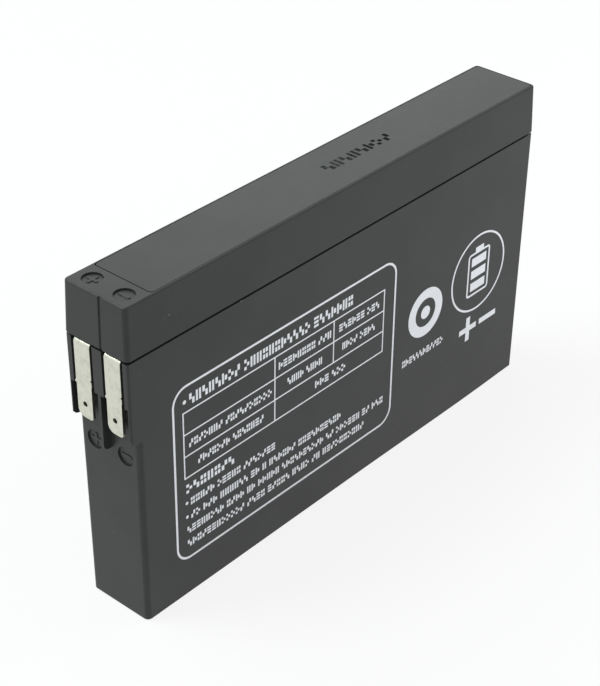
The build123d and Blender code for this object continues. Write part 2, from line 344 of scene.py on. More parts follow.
# Dust and specks on the plastic, in millimetres from the terminal end, the middle plane and the base
FLECKS = (
    Fleck((13.1, -9.81, 81.9), 0.28, 5.0),
    Fleck((11.7, -9.81, 81.7), 0.24, 3.0),
    Fleck((3.6, -9.79, 71.4), 0.26, 2.2),
    Fleck((35.9, -9.8, 74.9), 0.3, 6.0),
    Fleck((2.56, 0.6, 22.3), 0.28, 3.0),
    Fleck((61.0, -6.2, 89.0), 0.22, 2.4),
)
BROWN_FLECK = Fleck((47.8, -9.53, 7.4), 0.3, 1.0)
BROWN = (0.12, 0.07, 0.035, 1.0)


def satin_black_plastic(finish):
    """Black satin moulding with a fine grain, a faint cloudiness and a few specks of dust."""
    case = bpy.context.scene.battery_case
    cloud = finish.noise(14.0 * MM, detail=3.0)
    mottle = finish.noise(1.6 * MM, detail=4.0)
    grain = finish.noise(case.grain_size)
    wave = finish.noise(22.0 * MM, detail=1.0)
    tone = finish.blend(finish.between(cloud, 0.3, 0.7), opaque(case.colour, level=0.92),
                        opaque(case.colour, level=1.1))
    patches = finish.between(mottle, 0.55, 0.8) * 0.35
    tone = finish.blend(patches, tone, opaque(case.colour, level=1.35))
    for fleck in FLECKS:
        tone = finish.blend(finish.spot(fleck), tone, opaque(case.colour, fleck.level))
    tone = finish.blend(finish.spot(BROWN_FLECK), tone, BROWN)
    waved = finish.bump(wave, depth=0.05 * MM)
    grained = finish.bump(grain, case.grain_depth, waved)
    rough = case.roughness - 0.05 + 0.1 * mottle
    return finish.surface(Base_Color=tone, Roughness=rough, Normal=grained,
                          Specular_IOR_Level=case.gloss)


def dull_tin_plating(finish):
    """Dull tin plating with faint stains, drawn lines and small pits."""
    tabs = bpy.context.scene.battery_tabs
    stain = finish.noise(1.4 * MM, detail=4.0)
    drawn = finish.noise(0.12 * MM, stretch=(1.0, 1.0, 0.06))
    pits = finish.noise(0.3 * MM)
    tone = finish.blend(finish.between(stain, 0.42, 0.7), opaque(tabs.colour),
                        opaque(tabs.colour, level=0.86))
    dark_pits = finish.between(pits, 0.7, 0.8) * 0.5
    tone = finish.blend(dark_pits, tone, opaque(tabs.colour, level=0.6))
    rough = tabs.roughness - 0.06 + 0.12 * stain
    lines = finish.bump(drawn, depth=0.004 * MM)
    return finish.surface(Base_Color=tone, Roughness=rough, Metallic=1.0, Normal=lines)


def pale_screen_ink(finish):
    """Screen ink, slightly uneven where it lies thin."""
    ink = bpy.context.scene.battery_print.ink
    thin = finish.noise(0.5 * MM, detail=3.0)
    tone = finish.blend(finish.between(thin, 0.45, 0.75), opaque(ink), opaque(ink, level=0.92))
    rough = 0.42 + 0.12 * thin
    return finish.surface(Base_Color=tone, Roughness=rough, Specular_IOR_Level=0.3)


def dark_stamping(finish):
    """Dark stamping, worn thinner towards the terminal end."""
    stamp = bpy.context.scene.battery_stamp
    plastic_colour = bpy.context.scene.battery_case.colour
    along = finish.node("ShaderNodeSeparateXYZ", None, {"Vector": finish.place})
    row_start = END_X + stamp.start
    row_end = row_start + stamp.count * stamp.pitch
    wear = finish.between(along, row_start, row_end, new_low=0.9, new_high=0.0)
    patches = finish.between(finish.noise(0.7 * MM, detail=3.0), 0.35, 0.65)
    tone = finish.blend(wear * patches, opaque(stamp.colour), opaque(plastic_colour, level=2.4))
    return finish.surface(Base_Color=tone, Roughness=0.7, Specular_IOR_Level=0.05)


def dull_cast_lead(finish):
    """Dull cast lead with a cloudy skin."""
    cloud = finish.noise(1.8 * MM, detail=4.0)
    tone = finish.blend(cloud, (0.13, 0.14, 0.15, 1.0), (0.24, 0.25, 0.27, 1.0))
    skin = finish.bump(finish.noise(0.4 * MM, detail=3.0), depth=0.02 * MM)
    return finish.surface(Base_Color=tone, Roughness=0.5 + 0.2 * cloud, Metallic=0.9, Normal=skin)


def glass_fibre_mat(finish):
    """White felt of fine glass fibres."""
    fibres = finish.noise(0.15 * MM, detail=4.0, stretch=(1.0, 1.0, 0.2))
    tone = finish.blend(fibres, (0.68, 0.68, 0.66, 1.0), (0.88, 0.88, 0.86, 1.0))
    felt = finish.bump(fibres, depth=0.05 * MM)
    return finish.surface(Base_Color=tone, Roughness=0.9, Normal=felt)


def matt_rubber(finish):
    """Matt black rubber with a talc bloom."""
    bloom = finish.noise(1.2 * MM, detail=4.0)
    tone = finish.blend(finish.between(bloom, 0.45, 0.8), (0.02, 0.02, 0.02, 1.0), (0.06, 0.06, 0.06, 1.0))
    skin = finish.bump(bloom, depth=0.02 * MM)
    return finish.surface(Base_Color=tone, Roughness=0.75, Normal=skin)


def cast_black_resin(finish):
    """Glossy black resin with a few tiny bubbles."""
    bubbles = finish.between(finish.noise(0.5 * MM, detail=1.0), 0.68, 0.75)
    tone = finish.blend(bubbles, (0.03, 0.03, 0.032, 1.0), (0.08, 0.08, 0.08, 1.0))
    skin = finish.bump(1.0 - bubbles, depth=0.05 * MM)
    return finish.surface(Base_Color=tone, Roughness=0.2, Normal=skin)


def shared(make):
    """The material that a finish's function makes, made once and named as the function is."""
    name = make.__name__
    return bpy.data.materials.get(name) or make(Finish(name))


def link(piece):
    bpy.context.scene.collection.objects.link(piece)
    return piece


def merged_copy(node, name, material):
    """A copy of a node whose loose triangles are merged into whole flat faces."""
    mesh = bpy.data.meshes.new(name)
    bm = bmesh.new()
    bm.from_mesh(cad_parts[node].data)
    bmesh.ops.remove_doubles(bm, verts=bm.verts, dist=SAME_POINT)
    bmesh.ops.dissolve_limit(bm, angle_limit=FLAT_ANGLE, verts=bm.verts, edges=bm.edges)
    bm.to_mesh(mesh)
    bm.free()
    mesh.materials.append(material)
    return link(bpy.data.objects.new(name, mesh))


def apply_modifiers(piece):
    """Replaces a piece's mesh by what its modifiers make of it."""
    depsgraph = bpy.context.evaluated_depsgraph_get()
    made = bpy.data.meshes.new_from_object(piece.evaluated_get(depsgraph))
    made.name = piece.name
    piece.modifiers.clear()
    piece.data = made


def combine(piece, other, operation="DIFFERENCE"):
    """Cuts another body out of a piece, or joins it on. Its faces keep its own material."""
    modifier = piece.modifiers.new("combine", "BOOLEAN")
    modifier.operation = operation
    modifier.solver = "EXACT"
    modifier.material_mode = "TRANSFER"
    modifier.object = other
    apply_modifiers(piece)
    bpy.data.objects.remove(other)


def soften(piece, radius, outer):
    """Rounds the sharp edges whose middle the outer test accepts, and smooths the rest."""
    mesh = piece.data
    bm = bmesh.new()
    bm.from_mesh(mesh)
    weight = bm.edges.layers.float.new("bevel_weight_edge")
    for edge in bm.edges:
        sharp = edge.is_manifold and edge.calc_face_angle() > SHARP_ANGLE
        middle = (edge.verts[0].co + edge.verts[1].co) / 2
        edge[weight] = 1.0 if sharp and outer(middle) else 0.0
        edge.smooth = not sharp or edge[weight] > 0.0
    for face in bm.faces:
        face.smooth = True
    bm.to_mesh(mesh)
    bm.free()
    bevel = piece.modifiers.new("rounds", "BEVEL")
    bevel.limit_method = "WEIGHT"
    bevel.width = radius
    bevel.segments = ROUND_SEGMENTS
    bevel.use_clamp_overlap = True
    weigh_normals(piece)


def weigh_normals(piece):
    """Applies a piece's modifiers and weighs its normals by area, so that flat faces shade flat."""
    normals = piece.modifiers.new("normals", "WEIGHTED_NORMAL")
    normals.keep_sharp = True
    apply_modifiers(piece)


def dress(piece, node):
    """Puts a piece in its node's place in the frame."""
    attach(piece, "root")
    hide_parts(node)


def add_box(bm, low, high):
    """A box between two corners."""
    size = Vector(high) - Vector(low)
    middle = (Vector(high) + Vector(low)) / 2
    place = Matrix.Translation(middle) @ Matrix.Diagonal((*size, 1.0))
    bmesh.ops.create_cube(bm, size=1.0, matrix=place)


def circle(x, y, radius, steps):
    turn = [2 * math.pi * step / steps for step in range(steps)]
    return [(x + radius * math.cos(angle), y + radius * math.sin(angle)) for angle in turn]


def add_ring(bm, centre, radius, width, low, high, steps):
    """A flat ring round Z."""
    outer = radius + width / 2
    inner = radius - width / 2
    rounds = [[bm.verts.new((*point, height)) for point in circle(*centre, side, steps)]
              for side, height in ((outer, low), (outer, high), (inner, high), (inner, low))]
    for first, second in zip(rounds, rounds[1:] + rounds[:1]):
        for step in range(steps):
            after = (step + 1) % steps
            bm.faces.new((first[step], first[after], second[after], second[step]))


def add_prism(bm, outline, low, high):
    """A flat outline round Z, given thickness."""
    floor = [bm.verts.new((*point, low)) for point in outline]
    roof = [bm.verts.new((*point, high)) for point in outline]
    bm.faces.new(floor)
    bm.faces.new(roof)
    for step in range(len(outline)):
        after = (step + 1) % len(outline)
        bm.faces.new((floor[step], floor[after], roof[after], roof[step]))


def plus_outline(x, y, half, side):
    """The twelve corners of a plus."""
    quarter = [(half, -side), (half, side), (side, side)]
    turns = [(1, 0), (0, 1), (-1, 0), (0, -1)]
    return [(x + c * a - s * b, y + s * a + c * b) for c, s in turns for a, b in quarter]


def add_disc(bm, centre, radius, low, high, steps):
    """A flat disc round Z."""
    place = Matrix.Translation((centre[0], centre[1], (low + high) / 2))
    bmesh.ops.create_cone(bm, cap_ends=True, segments=steps, radius1=radius, radius2=radius,
                          depth=high - low, matrix=place)


def piece_from(bm, name, place):
    """Ends a bmesh as a linked piece, moved to its place in the mesh."""
    bmesh.ops.recalc_face_normals(bm, faces=bm.faces)
    mesh = bpy.data.meshes.new(name)
    bm.to_mesh(mesh)
    bm.free()
    mesh.transform(place)
    return link(bpy.data.objects.new(name, mesh))


def sink_mark(piece, plus, place):
    """Sinks a round pocket into a piece and raises a plus or a minus on the pocket's floor.

    The place turns the mark's own +Z to the way out of the surface."""
    marks = bpy.context.scene.battery_marks
    depth = marks.pocket_depth
    half = marks.sign_length / 2
    side = marks.sign_width / 2
    sign_foot = -1.5 * depth
    bm = bmesh.new()
    add_disc(bm, (0.0, 0.0), marks.pocket_radius, -depth, depth, POCKET_STEPS)
    pocket = piece_from(bm, "mark_pocket", place)
    bm = bmesh.new()
    if plus:
        add_prism(bm, plus_outline(0.0, 0.0, half, side), sign_foot, -marks.sign_drop)
    else:
        add_box(bm, (-side, -half, sign_foot), (side, half, -marks.sign_drop))
    sign = piece_from(bm, "mark_sign", place)
    for body in (pocket, sign):
        body.data.materials.append(shared(satin_black_plastic))
    combine(piece, pocket)
    combine(piece, sign, "UNION")


def sink_marks(piece, x, z, turn):
    """Sinks a plus and a minus side by side, turned so that each one's own +Z is the way out."""
    marks = bpy.context.scene.battery_marks
    for plus, side in ((True, 1), (False, -1)):
        y = marks.off_middle + side * marks.spread
        sink_mark(piece, plus, Matrix.Translation((x, y, z)) @ turn)


def near_outside(low, high, reach):
    """A test for points that lie within reach of a box's faces."""
    def test(point):
        return any(point[axis] < low[axis] + reach or point[axis] > high[axis] - reach
                   for axis in range(3))
    return test


class BATTERY_OT_container(bpy.types.Operator):
    """Finish the container: softened edges and the sunk marks on its end wall"""

    bl_idname = "battery.container"
    bl_label = "Container"

    def execute(self, context):
        case = context.scene.battery_case
        marks = context.scene.battery_marks
        piece = merged_copy("container", "container_shell", shared(satin_black_plastic))
        wall_x = WALL_FOOT_X + DRAFT_SLOPE * marks.wall_height
        upright = Matrix(((0, 0, -1, 0), (0, 1, 0, 0), (1, 0, 0, 0), (0, 0, 0, 1)))
        sink_marks(piece, wall_x, marks.wall_height, upright)
        rim_low = case_high.z - HIDDEN_RIM
        recess_x = WALL_FOOT_X + RECESS_REACH
        outside = near_outside(case_low, case_high, CONTAINER_REACH)

        def outer(point):
            return point.z < rim_low and (outside(point) or point.x < recess_x)

        soften(piece, case.container_round, outer)
        dress(piece, "container")
        return {"FINISHED"}


class BATTERY_OT_lid(bpy.types.Operator):
    """Finish the lid: softened edges and the sunk marks over the tabs"""

    bl_idname = "battery.lid"
    bl_label = "Lid"

    def execute(self, context):
        case = context.scene.battery_case
        marks = context.scene.battery_marks
        piece = merged_copy("lid", "lid_shell", shared(satin_black_plastic))
        sink_marks(piece, END_X + marks.top_from_end, TOP_Z, Matrix())
        soften(piece, case.lid_round, near_outside(lid_low, lid_high, LID_REACH))
        dress(piece, "lid")
        return {"FINISHED"}


class BATTERY_OT_vent_cover(bpy.types.Operator):
    """Finish the vent cover: softened edges and a row of dark stamped strokes"""

    bl_idname = "battery.vent_cover"
    bl_label = "Vent cover"

    def execute(self, context):
        case = context.scene.battery_case
        stamp = context.scene.battery_stamp
        piece = merged_copy("vent_cover", "vent_cover_plate", shared(satin_black_plastic))
        soften(piece, case.lid_round, near_outside(cover_low, cover_high, COVER_REACH))
        cells = [(stamp.start + stamp.pitch * number, stamp.low_y, stamp.pitch, stamp.height)
                 for number in range(stamp.count)]
        place = Matrix.Translation((END_X, 0.0, TOP_Z - stamp.depth))
        cutter = block_signs("stamp_cutter", cells, 2 * stamp.depth, place, shared(dark_stamping))
        combine(piece, cutter)
        weigh_normals(piece)
        dress(piece, "vent_cover")
        return {"FINISHED"}


class BATTERY_OT_tabs(bpy.types.Operator):
    """Finish the two push-on tabs: softened stamped edges and tin plating"""

    bl_idname = "battery.tabs"
    bl_label = "Push-on tabs"

    def execute(self, context):
        tabs = context.scene.battery_tabs
        for node in ("terminal_positive", "terminal_negative"):
            piece = merged_copy(node, node + "_tab", shared(dull_tin_plating))
            soften(piece, tabs.edge_round, lambda point: True)
            dress(piece, node)
        return {"FINISHED"}


class BATTERY_OT_inner(bpy.types.Operator):
    """Give the enclosed plates, mats, links, caps, seals and return lead their finishes"""

    bl_idname = "battery.inner"
    bl_label = "Enclosed pieces"

    def execute(self, context):
        finishes = (
            ("positive_plates", dull_cast_lead),
            ("negative_plates", dull_cast_lead),
            ("cell_link", dull_cast_lead),
            ("separators", glass_fibre_mat),
            ("vent_cap", matt_rubber),
            ("terminal_seal", cast_black_resin),
            ("return_lead", dull_tin_plating),
        )
        for name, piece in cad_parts.items():
            for start, make in finishes:
                if name.startswith(start):
                    for slot in piece.material_slots:
                        slot.material = shared(make)
        return {"FINISHED"}


def group_tree(name, inputs):
    """A new geometry tree with named inputs, as (graph, wires of the inputs, modifier inputs)."""
    tree = bpy.data.node_groups.new(name, "GeometryNodeTree")
    tree.interface.new_socket("Geometry", in_out="INPUT", socket_type="NodeSocketGeometry")
    identifiers = {}
    for label, kind in inputs.items():
        made = tree.interface.new_socket(label, in_out="INPUT", socket_type=kind)
        identifiers[label] = made.identifier
    tree.interface.new_socket("Geometry", in_out="OUTPUT", socket_type="NodeSocketGeometry")
    graph = Graph(tree)
    entry = tree.nodes.new("NodeGroupInput")
    wires = {socket.name: Wire(graph, socket) for socket in entry.outputs if socket.name}
    return graph, wires, identifiers


def close_tree(graph, geometry, material):
    """Ends a geometry tree in Realize Instances and Set Material."""
    real = graph.node("GeometryNodeRealizeInstances", None, {"Geometry": geometry})
    painted = graph.node("GeometryNodeSetMaterial", None, {"Geometry": real, "Material": material})
    graph.node("NodeGroupOutput", None, {0: painted})


def run_tree(name, mesh, graph, identifiers, values, place):
    """The plain piece that a geometry tree makes of a mesh, moved to its place."""
    piece = link(bpy.data.objects.new(name, mesh))
    modifier = piece.modifiers.new("tree", "NODES")
    modifier.node_group = graph.tree
    for label, value in values.items():
        modifier[identifiers[label]] = value
    apply_modifiers(piece)
    piece.data.transform(place)
    return piece


# Plain block signs. Each fills a cell of one by one with blocks, as left, right, low and high
SIGNS = (
    ((0.06, 0.36, 0.0, 1.0), (0.54, 0.84, 0.0, 1.0)),
    ((0.06, 0.86, 0.0, 0.24), (0.06, 0.86, 0.38, 0.62), (0.06, 0.86, 0.76, 1.0)),
    ((0.06, 0.43, 0.0, 0.55), (0.49, 0.86, 0.45, 1.0)),
    ((0.06, 0.43, 0.45, 1.0), (0.49, 0.86, 0.0, 0.55)),
    ((0.06, 0.36, 0.0, 1.0), (0.48, 0.86, 0.27, 0.73)),
    ((0.06, 0.43, 0.68, 1.0), (0.49, 0.86, 0.34, 0.66), (0.06, 0.43, 0.0, 0.32)),
    ((0.06, 0.4, 0.0, 0.42), (0.52, 0.86, 0.0, 0.42), (0.06, 0.4, 0.58, 1.0), (0.52, 0.86, 0.58, 1.0)),
)


def sign_tree():
    """Puts one of the block signs in each cell, by a seeded choice."""
    graph, given, identifiers = group_tree("block_signs", {
        "Thickness": "NodeSocketFloat", "Seed": "NodeSocketInt", "Material": "NodeSocketMaterial"})
    signs = []
    for blocks in SIGNS:
        solids = []
        for left, right, low, high in blocks:
            cube = graph.node("GeometryNodeMeshCube", None, {"Size": (right - left, high - low, 1.0)})
            solids.append(graph.node("GeometryNodeTransform", None, {
                "Geometry": cube, "Translation": ((left + right) / 2, (low + high) / 2, 0.5)}))
        joined = graph.node("GeometryNodeJoinGeometry", None, {"Geometry": solids})
        signs.append(graph.node("GeometryNodeGeometryToInstance", None, {"Geometry": joined}))
    choice = graph.node("GeometryNodeJoinGeometry", None, {"Geometry": signs})
    number = graph.node("FunctionNodeRandomValue", {"data_type": "INT"},
                        {4: 0, 5: len(SIGNS) - 1, "Seed": given["Seed"]}, out=2)
    cell = graph.node("GeometryNodeInputNamedAttribute", {"data_type": "FLOAT_VECTOR"},
                      {"Name": "cell_size"})
    thick = graph.node("ShaderNodeCombineXYZ", None, {0: 1.0, 1: 1.0, 2: given["Thickness"]})
    scale = graph.node("ShaderNodeVectorMath", {"operation": "MULTIPLY"}, {0: cell, 1: thick})
    placed = graph.node("GeometryNodeInstanceOnPoints", None, {
        "Points": given["Geometry"], "Instance": choice, "Pick Instance": True,
        "Instance Index": number, "Scale": scale})
    close_tree(graph, placed, given["Material"])
    return graph, identifiers


def block_signs(name, cells, thickness, place, material):
    """One piece of block signs, with one in each cell of (left, low, width, height)."""
    mesh = bpy.data.meshes.new(name + "_cells")
    mesh.from_pydata([(left, low, 0.0) for left, low, width, height in cells], [], [])
    sizes = mesh.attributes.new("cell_size", "FLOAT_VECTOR", "POINT")
    for number, (left, low, width, height) in enumerate(cells):
        sizes.data[number].vector = (width, height, 1.0)
    graph, identifiers = sign_tree()
    values = {"Thickness": thickness, "Seed": bpy.context.scene.battery_print.seed, "Material": material}
    return run_tree(name, mesh, graph, identifiers, values, place)


def line_tree():
    """Draws a flat line of ink along a closed path, rounded at its corners."""
    graph, given, identifiers = group_tree("printed_line", {
        "Width": "NodeSocketFloat", "Thickness": "NodeSocketFloat", "Corner": "NodeSocketFloat",
        "Material": "NodeSocketMaterial"})
    path = graph.node("GeometryNodeMeshToCurve", None, {"Mesh": given["Geometry"]})
    rounded = graph.node("GeometryNodeFilletCurve", {"mode": "POLY"}, {
        "Curve": path, "Count": BEND_STEPS, "Radius": given["Corner"], "Limit Radius": True})
    section = graph.node("GeometryNodeCurvePrimitiveQuadrilateral", None, {
        "Width": given["Width"], "Height": given["Thickness"]})
    solid = graph.node("GeometryNodeCurveToMesh", None, {
        "Curve": rounded, "Profile Curve": section, "Fill Caps": True})
    flat = graph.node("GeometryNodeSetShadeSmooth", None, {"Geometry": solid, "Shade Smooth": False})
    close_tree(graph, flat, given["Material"])
    return graph, identifiers


def printed_line(name, path, width, corner):
    """A piece of ink along a closed path on the long side."""
    thickness = bpy.context.scene.battery_print.thickness
    points = [(x, z, thickness / 2) for x, z in path]
    edges = [(step, (step + 1) % len(path)) for step in range(len(path))]
    mesh = bpy.data.meshes.new(name + "_path")
    mesh.from_pydata(points, edges, [])
    graph, identifiers = line_tree()
    values = {"Width": width, "Thickness": thickness, "Corner": corner,
              "Material": shared(pale_screen_ink)}
    return run_tree(name, mesh, graph, identifiers, values, on_long_side())


def on_long_side():
    """Lays a flat drawing of X and height on the drafted long side, its thickness outwards."""
    return Matrix(((1, 0, 0, END_X), (0, DRAFT_SLOPE, -1, SIDE_FOOT_Y), (0, 1, 0, 0), (0, 0, 0, 1)))


def finish_print(piece):
    if not piece.data.materials:
        piece.data.materials.append(shared(pale_screen_ink))
    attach(piece, "root")


def rectangle(left, right, low, high):
    return [(left, low), (right, low), (right, high), (left, high)]


def filled_grid(bm, x_lines, z_lines, inked, thickness):
    """Fills the inked cells between the given lines, as one body with no inner walls."""
    corners = {}

    def corner(x, z, height):
        key = (x, z, height)
        if key not in corners:
            corners[key] = bm.verts.new(key)
        return corners[key]

    def cell_inked(column, row):
        inside = 0 <= column < len(x_lines) - 1 and 0 <= row < len(z_lines) - 1
        return inside and inked(column, row)

    for column in range(len(x_lines) - 1):
        for row in range(len(z_lines) - 1):
            if not cell_inked(column, row):
                continue
            x0, x1 = x_lines[column:column + 2]
            z0, z1 = z_lines[row:row + 2]
            for height in (0.0, thickness):
                bm.faces.new([corner(x, z, height) for x, z in rectangle(x0, x1, z0, z1)])
            for beside, a, b in (((column, row - 1), (x0, z0), (x1, z0)),
                                 ((column + 1, row), (x1, z0), (x1, z1)),
                                 ((column, row + 1), (x1, z1), (x0, z1)),
                                 ((column - 1, row), (x0, z1), (x0, z0))):
                if not cell_inked(*beside):
                    bm.faces.new([corner(*a, 0.0), corner(*b, 0.0),
                                  corner(*b, thickness), corner(*a, thickness)])


# The table has three rows, and its last inner upright line stops over the lowest one. Columns and
# rows are lines and cells by turns, counted from the lower left corner
ROW_LINES = 4
LAST_UPRIGHT = 4
LOWEST_ROW = 1


class BATTERY_OT_print_frame(bpy.types.Operator):
    """Print the rounded frame and the ruled table on the long side"""

    bl_idname = "battery.print_frame"
    bl_label = "Printed frame and table"

    def execute(self, context):
        ink = context.scene.battery_print
        half = ink.frame_line / 2
        outline = rectangle(ink.frame_left + half, ink.frame_right - half,
                            ink.frame_low + half, ink.frame_high - half)
        finish_print(printed_line("print_frame", outline, ink.frame_line, ink.frame_corner - half))
        bm = bmesh.new()
        half = ink.table_line / 2
        x_lines = [x + step for x in (ink.table_left, ink.label_column, ink.value_column, ink.table_right)
                   for step in (-half, half)]
        z_lines = [ink.table_low + row * ink.table_row + step for row in range(ROW_LINES)
                   for step in (-half, half)]

        def inked(column, row):
            on_line = column % 2 == 0 or row % 2 == 0
            left_open = column == LAST_UPRIGHT and row == LOWEST_ROW
            return on_line and not left_open

        filled_grid(bm, x_lines, z_lines, inked, ink.thickness)
        finish_print(piece_from(bm, "print_table", on_long_side()))
        return {"FINISHED"}


PrintLine = namedtuple("PrintLine", "left right low height groups")

# Lines of block signs, in millimetres, with how many signs each group has
PRINT_LINES = (
    PrintLine(18.3, 76.3, 55.25, 2.95, (8, 11, 7)),
    PrintLine(48.6, 68.2, 49.45, 2.1, (8, 3)),
    PrintLine(70.9, 86.8, 49.45, 2.1, (6, 3)),
    PrintLine(17.9, 46.4, 43.4, 2.1, (7, 10)),
    PrintLine(51.8, 64.9, 43.3, 2.1, (4, 4)),
    PrintLine(72.3, 85.3, 43.5, 2.1, (4, 4)),
    PrintLine(20.7, 43.5, 37.25, 2.1, (7, 7)),
    PrintLine(62.1, 74.0, 37.1, 2.1, (3, 3)),
    PrintLine(16.5, 33.2, 30.55, 2.6, (7,)),
    PrintLine(17.9, 47.7, 26.65, 2.05, (5, 5, 7)),
    PrintLine(17.9, 72.7, 22.57, 2.05, (2, 3, 6, 2, 1, 6, 10)),
    PrintLine(16.5, 89.9, 18.57, 2.05, (8, 4, 2, 5, 10, 2, 6, 2, 3)),
    PrintLine(16.5, 82.2, 14.52, 2.05, (12, 4, 5, 4, 2, 10)),
    PrintLine(97.4, 115.1, 25.2, 2.1, (12,)),
)
# Space between two groups, as a share of one sign's place
GROUP_GAP = 0.5

Bullet = namedtuple("Bullet", "x z radius")

# Round bullets before some lines, in millimetres
BULLETS = (Bullet(16.85, 56.7, 0.55), Bullet(16.7, 27.8, 0.45), Bullet(16.7, 23.7, 0.45))


def sign_cells(line):
    """The cells of a line's signs, spread evenly so that the line ends where it should."""
    places = sum(line.groups) + GROUP_GAP * (len(line.groups) - 1)
    pitch = (line.right - line.left) / places
    left = line.left
    cells = []
    for signs in line.groups:
        for number in range(signs):
            cell = (left + number * pitch, line.low, pitch, line.height)
            cells.append([measure * MM for measure in cell])
        left += (signs + GROUP_GAP) * pitch
    return cells


class BATTERY_OT_print_lines(bpy.types.Operator):
    """Print the lines of block signs and their bullets on the long side"""

    bl_idname = "battery.print_lines"
    bl_label = "Printed lines"

    def execute(self, context):
        ink = context.scene.battery_print
        cells = [cell for line in PRINT_LINES for cell in sign_cells(line)]
        finish_print(block_signs("print_lines", cells, ink.thickness, on_long_side(),
                                 shared(pale_screen_ink)))
        bm = bmesh.new()
        for bullet in BULLETS:
            add_disc(bm, (bullet.x * MM, bullet.z * MM), bullet.radius * MM, 0.0, ink.thickness,
                     BULLET_STEPS)
        finish_print(piece_from(bm, "print_bullets", on_long_side()))
        return {"FINISHED"}


# Plain symbols right of the frame
TARGET = (106.5 * MM, 38.6 * MM)
TARGET_RADIUS = 7.2 * MM
TARGET_LINE = 3.0 * MM
TARGET_DOT = 1.9 * MM
CELL_CIRCLE = (129.4 * MM, 40.9 * MM)
CELL_CIRCLE_RADIUS = 11.6 * MM
THIN_LINE = 0.6 * MM
CELL_SIZE = (9.0 * MM, 13.0 * MM)
CELL_CORNER = 0.8 * MM
CELL_NUB = (3.6 * MM, 1.4 * MM)
CELL_BARS = 3
CELL_GAP = 1.3 * MM
SIGN_SIZE = 7.6 * MM
SIGN_BAR = 1.7 * MM
PLUS_PLACE = (126.4 * MM, 23.8 * MM)
MINUS_PLACE = (135.4 * MM, 23.8 * MM)


class BATTERY_OT_print_symbols(bpy.types.Operator):
    """Print the plain symbols right of the frame: a target, a cell in a circle, a plus and a minus"""

    bl_idname = "battery.print_symbols"
    bl_label = "Printed symbols"

    def execute(self, context):
        ink = context.scene.battery_print
        cell_x, cell_z = CELL_CIRCLE
        half_width, half_height = CELL_SIZE[0] / 2, CELL_SIZE[1] / 2
        body = rectangle(cell_x - half_width, cell_x + half_width,
                         cell_z - half_height, cell_z + half_height)
        round_path = circle(*CELL_CIRCLE, CELL_CIRCLE_RADIUS, CIRCLE_STEPS)
        finish_print(printed_line("print_circle", round_path, THIN_LINE, 0.0))
        finish_print(printed_line("print_cell", body, THIN_LINE, CELL_CORNER))
        bm = bmesh.new()
        ring_radius = TARGET_RADIUS - TARGET_LINE / 2
        add_ring(bm, TARGET, ring_radius, TARGET_LINE, 0.0, ink.thickness, RING_STEPS)
        add_disc(bm, TARGET, TARGET_DOT, 0.0, ink.thickness, DOT_STEPS)
        nub_low = cell_z + half_height + THIN_LINE / 2
        add_box(bm, (cell_x - CELL_NUB[0] / 2, nub_low, 0.0),
                (cell_x + CELL_NUB[0] / 2, nub_low + CELL_NUB[1], ink.thickness))
        bar = (CELL_SIZE[1] - (CELL_BARS + 1) * CELL_GAP) / CELL_BARS
        for number in range(CELL_BARS):
            low = cell_z - half_height + CELL_GAP + number * (bar + CELL_GAP)
            add_box(bm, (cell_x - half_width + CELL_GAP, low, 0.0),
                    (cell_x + half_width - CELL_GAP, low + bar, ink.thickness))
        half = SIGN_SIZE / 2
        side = SIGN_BAR / 2
        add_prism(bm, plus_outline(*PLUS_PLACE, half, side), 0.0, ink.thickness)
        x, z = MINUS_PLACE
        add_box(bm, (x - half, z - side, 0.0), (x + half, z + side, ink.thickness))
        finish_print(piece_from(bm, "print_symbols", on_long_side()))
        return {"FINISHED"}


# Middle and side of each square lamp, in metres
KEY_LAMP = ((-0.45, 0.5, 1.05), 0.7)
FILL_LAMP = ((0.42, -0.27, 0.14), 0.35)
SHEEN_LAMP = ((0.51, 0.47, 0.47), 0.4)
PLAIN_LIGHT = (1.0, 1.0, 1.0)
WHITE = (1.0, 1.0, 1.0, 1.0)

# The floor's half side and its drop under the base, and the camera sensor's size in millimetres
FLOOR_HALF = 4.0
FLOOR_DROP = 0.01 * MM
SENSOR_WIDTH = 36.0


class BATTERY_OT_stage(bpy.types.Operator):
    """Set the stage: pale floor, even sky, three soft lamps and the camera"""

    bl_idname = "battery.stage"
    bl_label = "Stage"

    def execute(self, context):
        studio = context.scene.battery_studio
        make_floor(studio)
        make_sky(context.scene)
        soft_lamp("key_lamp", *KEY_LAMP, studio.key_power, studio.cool_tint)
        fill = soft_lamp("fill_lamp", *FILL_LAMP, studio.fill_power, PLAIN_LIGHT)
        fill.visible_glossy = False
        soft_lamp("sheen_lamp", *SHEEN_LAMP, studio.sheen_power, studio.cool_tint)
        make_camera(context.scene)
        context.scene.view_settings.view_transform = "Standard"
        return {"FINISHED"}


def seen_white(graph):
    """1 for the rays of the camera, of gloss and through glass, and 0 for the rest."""
    kinds = [graph.node("ShaderNodeLightPath", None, None, out=kind)
             for kind in ("Is Camera Ray", "Is Glossy Ray", "Is Transmission Ray")]
    total = kinds[0] + kinds[1] + kinds[2]
    return graph.node("ShaderNodeClamp", None, {"Value": total})


